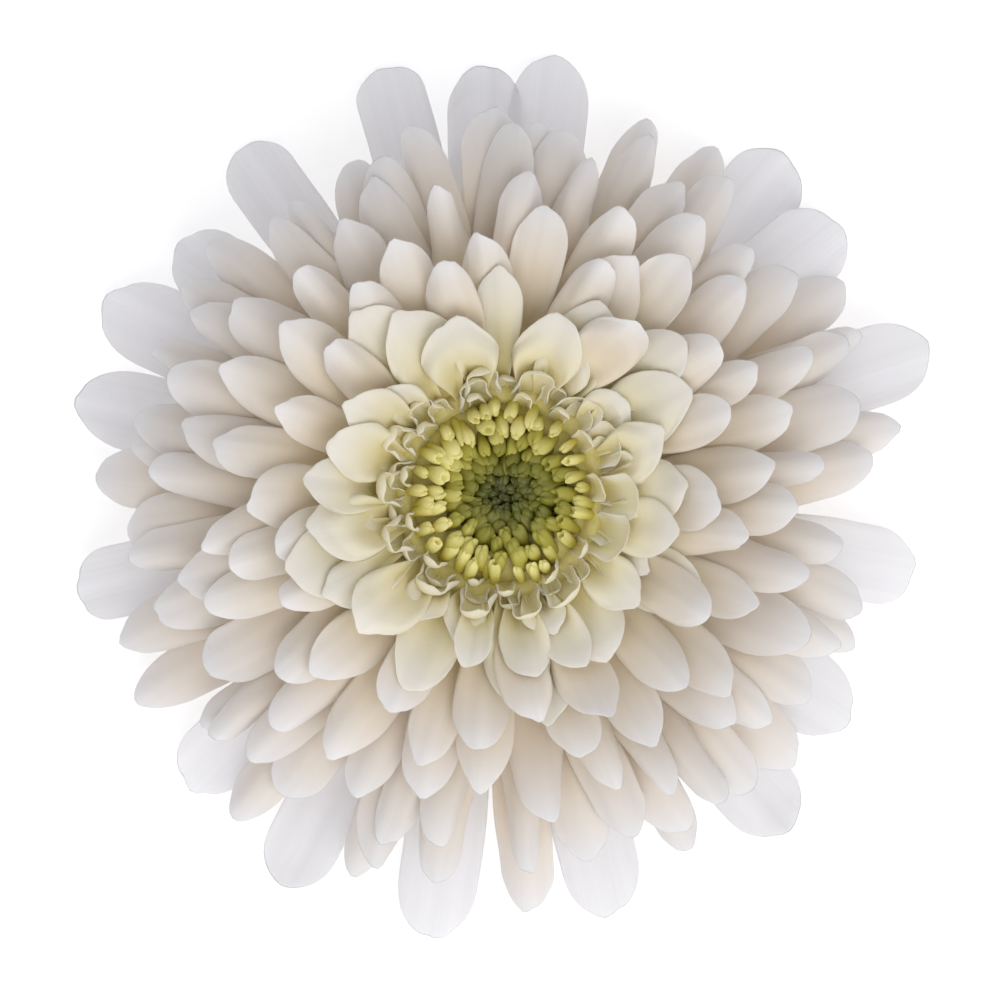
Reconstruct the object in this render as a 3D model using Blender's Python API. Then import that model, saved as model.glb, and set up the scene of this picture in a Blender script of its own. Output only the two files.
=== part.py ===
"""A cut chrysanthemum bloom, standing face up on its short stalk and its lowest petals.

Three bodies: the ray florets on their receptacle, the green disc florets of the eye, and the
involucre, a cup of bracts on a ribbed stalk. Metres, +Z up, the origin under the middle of the bloom.
"""

import math
import random
from typing import NamedTuple

import bmesh
import bpy
from mathutils import Matrix, Vector

MM = 0.001
GOLDEN_ANGLE = math.pi * (3 - math.sqrt(5))
RAY_SEED = 10
EYE_SEED = 10

# Driving dimensions
BLADE_THICKNESS = 0.8 * MM  # at the midrib; a blade thins to its edges
NODE_GAP = 0.3 * MM  # between bodies that touch on the real bloom
STALK_RADIUS = 2.6 * MM
STALK_RIB = 0.35 * MM
STALK_TOP = 5.2 * MM
CUP_TOP = 12.3 * MM
CORE_TOP = 19.0 * MM
EYE_RADIUS = 10.1 * MM

# Ray florets that follow the golden angle, from the inner rows to the outer ones
RAY_COUNT = 94
RAY_REACH = (24.0 * MM, 45.0 * MM)
INNERMOST_REACH = 17.0 * MM
DOME_TOP = 31.0 * MM  # height of the highest petal tips
DOME_TOP_REACH = 20.0 * MM  # how far from the axis they stand
DOME_EDGE = 8.5 * MM  # height of the tips at the edge of the dome
DOME_EDGE_REACH = 48.0 * MM
DOME_FALL = 2.2  # how late the dome falls away

# The outline: azimuth in degrees, reach in millimetres, tip height in millimetres.
# A height of 0 marks the petals that lie on the surface.
OUTLINE_PETALS = (
    (18.6, 51.4, 4.0),
    (9.0, 46.4, 7.5),
    (-11.0, 48.2, 3.0),
    (-22.6, 44.6, 9.0),
    (-32.5, 47.5, 2.0),
    (-43.2, 46.8, 8.0),
    (-50.0, 50.6, 0.0),
    (-61.7, 46.6, 8.0),
    (-74.8, 50.0, 2.5),
    (-86.0, 48.8, 7.5),
    (-98.9, 51.4, 1.5),
    (-111.3, 47.5, 7.0),
    (-119.9, 51.0, 0.0),
    (-128.7, 49.2, 8.0),
    (-137.9, 48.9, 2.0),
    (-149.6, 48.8, 7.0),
    (-158.4, 47.6, 9.5),
    (-167.4, 48.8, 3.5),
    (178.2, 46.4, 9.0),
    (168.2, 49.4, 0.0),
    (153.6, 49.9, 2.5),
    (142.0, 46.4, 4.5),
    (127.6, 49.0, 1.5),
    (105.3, 50.2, 2.0),
    (93.0, 48.5, 0.0),
    (82.1, 50.3, 2.0),
    (67.2, 45.9, 8.5),
    (58.6, 48.0, 6.5),
    (48.6, 50.3, 0.0),
    (38.9, 49.1, 2.5),
    (31.5, 46.4, 8.0),
    (24.9, 45.6, 10.0),
)

# The innermost full-grown petals: azimuth in degrees, reach and half width in millimetres
INNER_PETALS = (
    (106.0, 20.0, 4.7),
    (72.0, 20.8, 4.3),
    (59.5, 24.0, 4.2),
    (30.0, 24.5, 4.9),
    (16.0, 19.6, 3.7),
    (2.0, 21.0, 3.9),
    (-14.0, 20.4, 3.8),
    (-29.0, 25.4, 4.2),
    (-38.0, 19.8, 3.5),
    (-54.0, 22.0, 3.9),
    (-67.0, 21.4, 3.0),
    (-84.0, 24.6, 4.1),
    (-100.0, 19.6, 2.4),
    (-116.0, 24.2, 4.0),
    (-134.0, 21.6, 4.3),
    (-157.5, 25.4, 4.3),
    (-166.0, 21.4, 4.2),
    (178.0, 21.2, 3.6),
    (163.0, 19.4, 3.9),
    (146.0, 19.6, 3.4),
    (130.5, 26.2, 4.3),
    (119.0, 23.4, 4.3),
)

# Young ray florets, short and rolled, in two rings round the eye:
# count, root distance, tip reach, tip height, half width
YOUNG_RINGS = (
    (17, 11.4 * MM, (11.6 * MM, 13.0 * MM), (22.8 * MM, 24.2 * MM), 2.0 * MM),
    (14, 12.2 * MM, (14.0 * MM, 16.2 * MM), (24.6 * MM, 26.6 * MM), 2.6 * MM),
)

# Disc florets: buds that follow the golden angle, and a ring of larger ones at the rim
BUD_COUNT = 80
BUD_RING = (1.4 * MM, 8.5 * MM)  # distances of the innermost and outermost from the axis
RIM_BUD_COUNT = 24
RIM_BUD_RING = 9.55 * MM
BUD_SIDES = 5

# Cup of bracts: count, root (radius, height), tip (radius, height), half width
BRACT_ROWS = (
    (7, (3.6 * MM, 6.2 * MM), (8.4 * MM, 9.0 * MM), 1.7 * MM),
    (9, (5.4 * MM, 8.0 * MM), (10.0 * MM, 10.6 * MM), 1.8 * MM),
    (12, (7.0 * MM, 9.9 * MM), (11.4 * MM, 11.4 * MM), 1.9 * MM),
)
BRACT_THICKNESS = 0.7 * MM

# A blade's outline: (share of its length, share of its half width)
PETAL_OUTLINE = ((0.0, 0.14), (0.42, 0.51), (0.84, 1.0), (1.0, 0.48))
LONG_OUTLINE = ((0.0, 0.14), (0.2, 0.32), (0.48, 0.6), (0.84, 1.0), (1.0, 0.48))
YOUNG_OUTLINE = ((0.0, 0.55), (0.55, 1.0), (0.85, 0.8), (1.0, 0.3))
BRACT_OUTLINE = ((0.0, 0.7), (0.45, 1.0), (1.0, 0.12))


class Floret(NamedTuple):
    """One blade. Its midrib is a curve in the upright plane at azimuth, from root to tip,
    each of them (distance from the axis, height), with its slope above level at each end."""

    azimuth: float
    root: tuple
    tip: tuple
    root_rise: float
    tip_rise: float
    half_width: float
    cup: float  # the angle that each half of the cross-section curls through
    roll: float  # turn about the midrib at the tip
    sweep: float  # sideways bend at the tip, as a share of the span


def blend(a, b, share):
    return a + (b - a) * share


def slope(rise):
    return Vector((math.cos(rise), math.sin(rise)))


def midrib_point(floret, share):
    """Distance from the axis, height and slope of the midrib: a cubic Bezier curve."""
    root, tip = Vector(floret.root), Vector(floret.tip)
    handle = 0.36 * (tip - root).length
    points = (root, root + slope(floret.root_rise) * handle, tip - slope(floret.tip_rise) * handle, tip)
    rest = 1 - share
    at = sum(
        (
            point * weight
            for point, weight in zip(
                points, (rest**3, 3 * rest**2 * share, 3 * rest * share**2, share**3)
            )
        ),
        Vector((0, 0)),
    )
    along = (
        (points[1] - points[0]) * rest**2
        + (points[2] - points[1]) * 2 * rest * share
        + (points[3] - points[2]) * share**2
    )
    return at, math.atan2(along.y, along.x)


def section(floret, share, width_share, thickness):
    """The four corners of the blade's cross-section: left edge, underside, right edge, upper side."""
    at, rise = midrib_point(floret, share)
    outward = Vector((math.cos(floret.azimuth), math.sin(floret.azimuth), 0))
    across = Vector((-outward.y, outward.x, 0))
    along = outward * math.cos(rise) + Vector((0, 0, math.sin(rise)))
    up = along.cross(across)
    span = (Vector(floret.tip) - Vector(floret.root)).length
    middle = outward * at.x + Vector((0, 0, at.y)) + across * (floret.sweep * span * share**2)
    turn = Matrix.Rotation(floret.roll * share, 3, along)
    across, up = turn @ across, turn @ up
    half_width = floret.half_width * width_share
    cup = floret.cup * (1.25 - 0.5 * share)
    side = across * (half_width * math.sin(cup) / cup)
    lift = up * (half_width * (1 - math.cos(cup)) / cup)
    half_thick = up * (thickness / 2)
    return middle - side + lift, middle - half_thick, middle + side + lift, middle + half_thick


def blade_mesh(name, floret, outline, thickness):
    """A thin blade, thickest at its midrib, split into triangles alike on its two faces."""
    bm = bmesh.new()
    rings = [
        [bm.verts.new(corner) for corner in section(floret, share, width, thickness)]
        for share, width in outline
    ]
    for near, far in zip(rings, rings[1:]):
        for edge, middle in ((0, 1), (2, 1), (2, 3), (0, 3)):
            bm.faces.new((near[edge], near[middle], far[middle]))
            bm.faces.new((near[edge], far[middle], far[edge]))
    for ring in (rings[0], rings[-1]):
        bm.faces.new((ring[0], ring[1], ring[3]))
        bm.faces.new((ring[1], ring[2], ring[3]))
    bmesh.ops.recalc_face_normals(bm, faces=bm.faces)
    mesh = bpy.data.meshes.new(name)
    bm.to_mesh(mesh)
    bm.free()
    return mesh


def turned_mesh(name, profile, sides):
    """A turned solid. The profile runs from the axis at the bottom to the axis at the top."""
    bm = bmesh.new()
    corners = [bm.verts.new((radius, 0, height)) for radius, height in profile]
    edges = [bm.edges.new(pair) for pair in zip(corners, corners[1:])]
    bmesh.ops.spin(
        bm, geom=corners + edges, axis=(0, 0, 1), cent=(0, 0, 0), angle=math.tau, steps=sides
    )
    bmesh.ops.remove_doubles(bm, verts=bm.verts, dist=0.001 * MM)
    bmesh.ops.recalc_face_normals(bm, faces=bm.faces)
    mesh = bpy.data.meshes.new(name)
    bm.to_mesh(mesh)
    bm.free()
    return mesh


def new_object(name, mesh, collection, place=None):
    obj = bpy.data.objects.new(name, mesh)
    if place is not None:
        obj.matrix_world = place
    collection.objects.link(obj)
    return obj


def bodies_of(bm):
    """The mesh's separate bodies, each as its list of faces."""
    left, bodies = set(bm.faces), []
    while left:
        body, edge_of_body = [], [left.pop()]
        while edge_of_body:
            face = edge_of_body.pop()
            body.append(face)
            near = {other for edge in face.edges for other in edge.link_faces} & left
            left -= near
            edge_of_body.extend(near)
        bodies.append(body)
    return bodies


def volume_of(faces):
    """Six times the signed volume inside some triangles: negative for a sealed hollow."""
    return sum(a.co.dot(b.co.cross(c.co)) for a, b, c in (face.verts for face in faces))


def keep_main_body(mesh):
    """Fills the hollows that fusing sealed, and drops any scrap that it left loose."""
    bm = bmesh.new()
    bm.from_mesh(mesh)
    bmesh.ops.triangulate(bm, faces=bm.faces)
    bodies = sorted(bodies_of(bm), key=volume_of)
    for body in bodies[:-1]:
        bmesh.ops.delete(bm, geom=body, context="FACES")
    bm.to_mesh(mesh)
    bm.free()


def fuse(base, repeats):
    """Joins the repeats, a list of (mesh, place), to the base object as one body."""
    group = bpy.data.collections.new(base.name + "_repeats")
    bpy.context.scene.collection.children.link(group)
    for mesh, place in repeats:
        new_object("repeat", mesh, group, place)
    union = base.modifiers.new("Union", "BOOLEAN")
    union.operation = "UNION"
    union.solver = "MANIFOLD"
    union.operand_type = "COLLECTION"
    union.collection = group
    graph = bpy.context.evaluated_depsgraph_get()
    fused = bpy.data.meshes.new_from_object(base.evaluated_get(graph))
    base.modifiers.clear()
    keep_main_body(fused)
    base.data = fused
    for obj in list(group.objects):
        bpy.data.objects.remove(obj)
    bpy.data.collections.remove(group)


def material(name, colour, roughness):
    made = bpy.data.materials.new(name)
    made.use_nodes = True
    shader = made.node_tree.nodes["Principled BSDF"]
    shader.inputs["Base Color"].default_value = (*colour, 1)
    shader.inputs["Roughness"].default_value = roughness
    shader.inputs["Metallic"].default_value = 0
    return made


def tip_height(reach):
    """Height of the petal tips on the bloom's dome, at a distance from the axis."""
    past = max(0, reach - DOME_TOP_REACH) / (DOME_EDGE_REACH - DOME_TOP_REACH)
    return DOME_TOP - (DOME_TOP - DOME_EDGE) * past**DOME_FALL


def ray_floret(azimuth, reach, half_width, rng):
    """A full-grown petal of the dome: upright and cupped near the eye, lower and flatter further out."""
    near, far = INNERMOST_REACH, RAY_REACH[1]
    share = min(1, max(0, (reach**2 - near**2) / (far**2 - near**2)))
    return Floret(
        azimuth=azimuth,
        root=(blend(11.7, 5.9, share) * MM, blend(17.4, 13.9, share) * MM),
        tip=(reach, tip_height(reach) + rng.uniform(-0.8, 0.8) * MM),
        root_rise=math.radians(blend(60, 14, share**0.8)),
        tip_rise=math.radians(blend(56, -24, share) + rng.uniform(-8, 8)),
        half_width=half_width,
        cup=math.radians(blend(58, 34, share) + rng.uniform(-6, 6)),
        roll=math.radians(rng.uniform(-10, 10)),
        sweep=rng.uniform(-0.06, 0.06),
    )


def dome_florets():
    """The petals inside the outline, from the innermost to the outermost."""
    rng = random.Random(RAY_SEED)
    florets = [
        ray_floret(math.radians(azimuth), reach * MM, half_width * MM, rng)
        for azimuth, reach, half_width in INNER_PETALS
    ]
    near, far = RAY_REACH
    for number in range(RAY_COUNT):
        reach = math.sqrt(blend(near**2, far**2, (number + 0.5) / RAY_COUNT))
        reach += rng.uniform(-0.9, 0.9) * MM
        azimuth = number * GOLDEN_ANGLE + rng.uniform(-0.07, 0.07)
        half_width = rng.uniform(4.0, 4.8) * MM
        florets.append(ray_floret(azimuth, reach, half_width, rng))
    return florets


def outline_florets():
    """The outermost petals, placed where the bloom's outline shows them."""
    rng = random.Random(RAY_SEED + 1)
    florets = []
    for azimuth, reach, height in OUTLINE_PETALS:
        lies = height == 0
        turn = 0 if lies else rng.uniform(-7, 7)
        tip_rise = math.radians(-3 if lies else -22)
        florets.append(
            Floret(
                azimuth=math.radians(azimuth),
                root=(5.6 * MM, 13.5 * MM),
                tip=(reach * MM, max(height * MM, BLADE_THICKNESS / 2 * math.cos(tip_rise))),
                root_rise=math.radians(9),
                tip_rise=tip_rise,
                half_width=rng.uniform(4.3, 5.0) * MM,
                cup=math.radians(rng.uniform(22, 32)),
                roll=math.radians(turn),
                sweep=0,
            )
        )
    return florets


def young_florets():
    """The short, rolled petals round the eye."""
    rng = random.Random(RAY_SEED + 2)
    florets = []
    for count, root, reach, height, half_width in YOUNG_RINGS:
        for number in range(count):
            share = rng.random()
            florets.append(
                Floret(
                    azimuth=(number + rng.uniform(-0.15, 0.15)) * math.tau / count,
                    root=(root, 18.2 * MM),
                    tip=(blend(*reach, share), blend(*height, share)),
                    root_rise=math.radians(74),
                    tip_rise=math.radians(rng.uniform(95, 125)),
                    half_width=half_width * rng.uniform(0.85, 1.1),
                    cup=math.radians(66),
                    roll=math.radians(rng.uniform(-20, 20)),
                    sweep=0,
                )
            )
    return florets


def build_ray_florets():
    profile = (
        (0, 12.6),
        (6.3, 12.6),
        (9.2, 14.2),
        (11.6, 16.0),
        (12.9, 17.6),
        (12.7, 18.6),
        (11.5, CORE_TOP / MM),
        (0, CORE_TOP / MM),
    )
    core = turned_mesh("ray_florets", [(r * MM, z * MM) for r, z in profile], 20)
    bloom = new_object("ray_florets", core, bpy.context.scene.collection)
    blades = [(f, LONG_OUTLINE) for f in outline_florets()]
    blades += [(f, PETAL_OUTLINE) for f in dome_florets()]
    blades += [(f, YOUNG_OUTLINE) for f in young_florets()]
    fuse(
        bloom,
        [(blade_mesh("petal", f, outline, BLADE_THICKNESS), None) for f, outline in blades],
    )
    bloom.data.materials.append(material("white_petal", (0.86, 0.82, 0.76), 0.55))
    return bloom


class Bud(NamedTuple):
    azimuth: float
    radius: float
    lean: float  # towards the axis
    half_width: float
    height: float

    def place(self):
        along = (math.cos(self.azimuth), math.sin(self.azimuth))
        foot = (self.radius * along[0], self.radius * along[1], eye_height(self.radius))
        turn = Matrix.Rotation(self.azimuth, 4, "Z") @ Matrix.Rotation(-self.lean, 4, "Y")
        return Matrix.Translation(foot) @ turn


def disc_buds():
    """The unopened disc florets, smaller and more bent over towards the middle."""
    rng = random.Random(EYE_SEED)
    near, far = BUD_RING
    buds = []
    for number in range(BUD_COUNT):
        radius = math.sqrt(blend(near**2, far**2, number / (BUD_COUNT - 1)))
        grown = radius / far
        buds.append(
            Bud(
                azimuth=number * GOLDEN_ANGLE + rng.uniform(-0.05, 0.05),
                radius=radius,
                lean=math.radians(blend(40, 30, grown) + rng.uniform(-6, 6)),
                half_width=blend(0.55, 0.95, grown) * rng.uniform(0.9, 1.08) * MM,
                height=blend(1.5, 3.5, grown) * rng.uniform(0.9, 1.1) * MM,
            )
        )
    for number in range(RIM_BUD_COUNT):
        buds.append(
            Bud(
                azimuth=(number + rng.uniform(-0.12, 0.12)) * math.tau / RIM_BUD_COUNT,
                radius=RIM_BUD_RING,
                lean=math.radians(rng.uniform(12, 20)),
                half_width=rng.uniform(1.0, 1.15) * MM,
                height=rng.uniform(3.2, 3.9) * MM,
            )
        )
    return buds


def bud_mesh(half_width, height):
    """An unopened disc floret: five sides, widest above the middle, with a blunt point."""
    rings = ((-0.25, 0.7), (0.66, 1.0))
    bm = bmesh.new()
    made = [
        [
            bm.verts.new(
                (
                    half_width * width * math.cos(math.tau * side / BUD_SIDES),
                    half_width * width * math.sin(math.tau * side / BUD_SIDES),
                    height * at,
                )
            )
            for side in range(BUD_SIDES)
        ]
        for at, width in rings
    ]
    tip = bm.verts.new((0, 0, height))
    for low, high in zip(made, made[1:]):
        for side in range(BUD_SIDES):
            after = (side + 1) % BUD_SIDES
            bm.faces.new((low[side], low[after], high[after], high[side]))
    for side in range(BUD_SIDES):
        bm.faces.new((made[-1][side], made[-1][(side + 1) % BUD_SIDES], tip))
    bm.faces.new(made[0][::-1])
    bmesh.ops.recalc_face_normals(bm, faces=bm.faces)
    mesh = bpy.data.meshes.new("bud")
    bm.to_mesh(mesh)
    bm.free()
    return mesh


def eye_height(radius):
    """Height of the eye's own surface: a low dome with a dimple in the middle."""
    share = radius / EYE_RADIUS
    return CORE_TOP + NODE_GAP + (1.0 + 1.4 * math.sin(math.pi * min(1, share) ** 0.9)) * MM


def build_disc_florets():
    foot = CORE_TOP + NODE_GAP
    steps = (1.0, 0.8, 0.55, 0.3)
    profile = [(0, foot), (EYE_RADIUS, foot)]
    profile += [(EYE_RADIUS * step, eye_height(EYE_RADIUS * step)) for step in steps]
    profile += [(0, eye_height(0))]
    eye = new_object(
        "disc_florets", turned_mesh("disc_florets", profile, 20), bpy.context.scene.collection
    )
    fuse(eye, [(bud_mesh(bud.half_width, bud.height), bud.place()) for bud in disc_buds()])
    eye.data.materials.append(material("green_bud", (0.42, 0.46, 0.10), 0.5))
    return eye


def build_involucre():
    """The cup and its bracts, on a ribbed stalk that is cut flat."""
    profile = (
        (0, 4.4),
        (2.4, 4.4),
        (3.0, 5.4),
        (4.6, 6.6),
        (6.6, 8.6),
        (8.2, 10.6),
        (8.6, CUP_TOP / MM),
        (0, CUP_TOP / MM),
    )
    cup = turned_mesh("involucre_and_stalk", [(r * MM, z * MM) for r, z in profile], 18)
    involucre = new_object("involucre_and_stalk", cup, bpy.context.scene.collection)
    bm = bmesh.new()
    sides = 16
    for side in range(sides):
        radius = STALK_RADIUS + (STALK_RIB if side % 2 else 0)
        angle = math.tau * side / sides
        bm.verts.new((radius * math.cos(angle), radius * math.sin(angle), 0))
    foot = bm.faces.new(bm.verts)
    top = bmesh.ops.extrude_face_region(bm, geom=[foot])["geom"]
    bmesh.ops.translate(
        bm, vec=(0, 0, STALK_TOP), verts=[v for v in top if isinstance(v, bmesh.types.BMVert)]
    )
    bmesh.ops.recalc_face_normals(bm, faces=bm.faces)
    stalk = bpy.data.meshes.new("stalk")
    bm.to_mesh(stalk)
    bm.free()
    parts = [(stalk, None)]
    for row, (count, root, tip, half_width) in enumerate(BRACT_ROWS):
        for number in range(count):
            bract = Floret(
                azimuth=(number + 0.5 * (row % 2)) * math.tau / count,
                root=root,
                tip=tip,
                root_rise=math.radians(48),
                tip_rise=math.radians(12),
                half_width=half_width,
                cup=math.radians(38),
                roll=0,
                sweep=0,
            )
            parts.append((blade_mesh("bract", bract, BRACT_OUTLINE, BRACT_THICKNESS), None))
    fuse(involucre, parts)
    involucre.data.materials.append(material("green_bract", (0.16, 0.26, 0.07), 0.6))
    return involucre


def main():
    for obj in list(bpy.data.objects):
        bpy.data.objects.remove(obj)
    build_ray_florets()
    build_disc_florets()
    build_involucre()


main()
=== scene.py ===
"""The looks of the cut chrysanthemum bloom: fine petals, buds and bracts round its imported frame.

The rows of petals and buds follow the same rules and named values as the bloom's solids, in metres.
"""

import math
from math import radians
from random import Random
from typing import NamedTuple

import bpy
import numpy as np
from mathutils import Matrix, Vector


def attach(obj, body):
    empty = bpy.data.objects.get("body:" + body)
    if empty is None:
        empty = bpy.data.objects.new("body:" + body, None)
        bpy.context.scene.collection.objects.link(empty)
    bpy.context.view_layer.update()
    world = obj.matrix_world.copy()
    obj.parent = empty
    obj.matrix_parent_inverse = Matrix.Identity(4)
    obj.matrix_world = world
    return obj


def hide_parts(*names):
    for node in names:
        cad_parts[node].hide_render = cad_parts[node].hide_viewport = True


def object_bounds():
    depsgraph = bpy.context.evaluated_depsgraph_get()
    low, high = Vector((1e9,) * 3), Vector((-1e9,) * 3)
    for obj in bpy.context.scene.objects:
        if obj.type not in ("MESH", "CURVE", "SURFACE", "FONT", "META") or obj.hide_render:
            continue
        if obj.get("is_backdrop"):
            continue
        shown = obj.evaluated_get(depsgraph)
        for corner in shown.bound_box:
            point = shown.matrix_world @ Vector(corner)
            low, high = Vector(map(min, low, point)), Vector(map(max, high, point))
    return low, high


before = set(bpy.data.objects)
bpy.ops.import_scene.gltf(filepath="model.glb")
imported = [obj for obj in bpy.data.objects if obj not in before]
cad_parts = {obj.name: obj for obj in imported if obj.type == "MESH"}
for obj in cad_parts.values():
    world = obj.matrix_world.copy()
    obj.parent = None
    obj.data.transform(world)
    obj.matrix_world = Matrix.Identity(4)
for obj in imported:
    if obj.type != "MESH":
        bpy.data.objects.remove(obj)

CAD_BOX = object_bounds()

MM = 0.001
GOLDEN_ANGLE = math.pi * (3 - math.sqrt(5))
RAY_SEED = 10
EYE_SEED = 10

# Seeds of what is drawn for the looks alone
LOOK_SEED = 5
BUD_LOOK_SEED = 15
BRACT_LOOK_SEED = 25
LAST_BUD_SEED = 45
PLACED_SEED = 65

# The bloom's driving dimensions
BLADE_THICKNESS = 0.8 * MM
NODE_GAP = 0.3 * MM
STALK_RADIUS = 2.6 * MM
STALK_RIB = 0.35 * MM
STALK_TOP = 5.2 * MM
CORE_TOP = 19.0 * MM
EYE_RADIUS = 10.1 * MM
RAY_COUNT = 94
RAY_REACH = (24.0 * MM, 45.0 * MM)
INNERMOST_REACH = 17.0 * MM
DOME_TOP = 31.0 * MM
DOME_TOP_REACH = 20.0 * MM
DOME_EDGE = 8.5 * MM
DOME_EDGE_REACH = 48.0 * MM
DOME_FALL = 2.2

# A petal of the dome, from the innermost to the outermost: where its root is in millimetres,
# and the degrees that it rises at its root and its tip and curls across
ROOT_DISTANCE = (11.7, 5.9)
ROOT_HEIGHT = (17.4, 13.9)
ROOT_RISE = (60, 14)
TIP_RISE = (56, -24)
CURL = (58, 34)

# The outline: azimuth in degrees, reach in millimetres, tip height in millimetres
OUTLINE_PETALS = (
    (18.6, 51.4, 4), (9, 46.4, 7.5), (-11, 48.2, 3), (-22.6, 44.6, 9),
    (-32.5, 47.5, 2), (-43.2, 46.8, 8), (-50, 50.6, 0), (-61.7, 46.6, 8),
    (-74.8, 50, 2.5), (-86, 48.8, 7.5), (-98.9, 51.4, 1.5), (-111.3, 47.5, 7),
    (-119.9, 51, 0), (-128.7, 49.2, 8), (-137.9, 48.9, 2), (-149.6, 48.8, 7),
    (-158.4, 47.6, 9.5), (-167.4, 48.8, 3.5), (178.2, 46.4, 9), (168.2, 49.4, 0),
    (153.6, 49.9, 2.5), (142, 46.4, 4.5), (127.6, 49, 1.5), (105.3, 50.2, 2),
    (93, 48.5, 0), (82.1, 50.3, 2), (67.2, 45.9, 8.5), (58.6, 48, 6.5),
    (48.6, 50.3, 0), (38.9, 49.1, 2.5), (31.5, 46.4, 8), (24.9, 45.6, 10),
)

# The innermost full-grown petals: azimuth in degrees, reach and half width in millimetres
INNER_PETALS = (
    (106, 20, 4.7), (72, 20.8, 4.3), (59.5, 24, 4.2), (30, 24.5, 4.9),
    (16, 19.6, 3.7), (2, 21, 3.9), (-14, 20.4, 3.8), (-29, 25.4, 4.2),
    (-38, 19.8, 3.5), (-54, 22, 3.9), (-67, 21.4, 3), (-84, 24.6, 4.1),
    (-100, 19.6, 2.4), (-116, 24.2, 4), (-134, 21.6, 4.3), (-157.5, 25.4, 4.3),
    (-166, 21.4, 4.2), (178, 21.2, 3.6), (163, 19.4, 3.9), (146, 19.6, 3.4),
    (130.5, 26.2, 4.3), (119, 23.4, 4.3),
)

# Seen only in the looks: narrow petals among the innermost ones
NARROW_PETALS = (
    (91, 25.4, 2.9), (42, 27, 3.6), (-74, 26.6, 3.4), (-81, 20.6, 3.1),
    (-147, 22.4, 3),
)

# Seen only in the looks: petals that lie on the outermost ones, where the photograph shows them
COVERING_PETALS = (
    (101, 43.6, 4.4), (90, 44.4, 4.3), (79.5, 43.4, 4.4), (69, 44.6, 4.3),
    (113, 40.6, 4.3), (124, 41.6, 4.4), (146, 44.4, 4.3), (156, 45, 4.2),
    (167, 43.8, 4.4), (-170, 44.4, 4.3), (-138, 44.6, 4.3), (-124, 44.2, 4.3),
    (-113, 45.4, 4.3), (-100, 45.8, 4.3), (-76, 44.2, 4.4), (-66, 45.4, 4.2),
    (-50, 44.8, 4.3), (-33, 44, 4.3), (-12, 43.4, 4.3), (20, 45.2, 4.3),
)

# Young petals, in two rings: count, root distance, tip reach, tip height, half width
YOUNG_RINGS = (
    (17, 11.4 * MM, (11.6 * MM, 13.0 * MM), (22.8 * MM, 24.2 * MM), 2.0 * MM),
    (14, 12.2 * MM, (14.0 * MM, 16.2 * MM), (24.6 * MM, 26.6 * MM), 2.6 * MM),
)

BUD_COUNT = 80
BUD_RING = (1.4 * MM, 8.5 * MM)
RIM_BUD_COUNT = 24
RIM_BUD_RING = 9.55 * MM

# Seen only in the looks: one more ring of buds, and the smallest and the half-grown petals outside it
LAST_BUD_COUNT = 34
LAST_BUD_RING = 9.8 * MM
EDGE_PETALS = dict(
    count=13,
    seed=35,
    root=(10.0 * MM, 18.7 * MM),
    reach=(11.0 * MM, 12.6 * MM),
    height=(22.8 * MM, 24.4 * MM),
    root_rise=80,
    tip_rise=(62, 88),
    half_width=(1.1 * MM, 1.7 * MM),
    cup=(58, 62),
    roll=25,
    sweep=0.1,
)
BRIDGE_PETALS = dict(
    count=11,
    seed=55,
    root=(11.5 * MM, 18.1 * MM),
    reach=(16.4 * MM, 19.4 * MM),
    height=(26.2 * MM, 28.6 * MM),
    root_rise=60,
    tip_rise=(44, 66),
    half_width=(2.5 * MM, 3.6 * MM),
    cup=(40, 56),
    roll=14,
    sweep=0.08,
)

# The fine buds
DRAWN_IN = 0.9  # how near to the axis they stand, against their solids
BUD_COLUMNS = 20
BUD_SUNK = 0.25  # share of its height that a bud stands in the button
OPEN_SHARE = 0.3  # share of the outer buds that are about to open
SHADED_SIDE = radians(-19)  # the side of the eye painted darkest, as painted shade where its bowl faces away from the lamp; the other side is painted lighter
# how far the buds' colour is shifted darker on that side and lighter on the other, as painted shade
SIDE_SHADE_SHARE = 0.17

# The fine petals round the eye, from the side where they stand steepest to the open side:
# the young ones' reach and how far the tips drop in millimetres, and the degrees that they
# rise at their roots and lean out at their tips
OPEN_SIDE = radians(4)
YOUNG_REACH = (15.2, 16.6)
YOUNG_DROP = (0.1, 1.5)
YOUNG_RISE = (60, 50)
YOUNG_LEAN = (50, 66)
YOUNG_DRAWN_IN = 1.7 * MM
INNER_ROOT = (11.4 * MM, 19.3 * MM)
INNER_DROP = (0.2, 3.0)
INNER_RISE = (47, 34)
INNER_LEAN = (4, 18)
UNROLLED = 0.7  # share of their curl that the young ones lack at the open side
SUNK = (0.2 * MM, 4.4 * MM)  # how far the crest of the dome sinks
SUNK_FROM = (12 * MM, 20 * MM)  # the distances from the axis between which that sets in
SUNK_TO = (23 * MM, 38 * MM)  # and those between which it ends

# Profiles of the fine buds, shut and about to open: (share of the height, share of the half width)
SHUT_BUD = (
    (0.0, 0.0), (0.0, 0.6), (0.18, 0.72), (0.36, 0.84), (0.54, 0.95), (0.7, 1.0),
    (0.82, 0.97), (0.9, 0.86), (0.95, 0.68), (0.98, 0.44), (0.985, 0.2), (0.975, 0.0),
)
OPEN_BUD = (
    (0.0, 0.0), (0.0, 0.62), (0.2, 0.74), (0.4, 0.86), (0.6, 0.97), (0.78, 1.02),
    (0.9, 0.95), (0.97, 0.8), (1.0, 0.62), (0.97, 0.44), (0.9, 0.26), (0.84, 0.0),
)

# Cup of bracts: count, root (radius, height), tip (radius, height), half width
BRACT_ROWS = (
    (7, (3.6 * MM, 6.2 * MM), (8.4 * MM, 9.0 * MM), 1.7 * MM),
    (9, (5.4 * MM, 8.0 * MM), (10.0 * MM, 10.6 * MM), 1.8 * MM),
    (12, (7.0 * MM, 9.9 * MM), (11.4 * MM, 11.4 * MM), 1.9 * MM),
)

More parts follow.
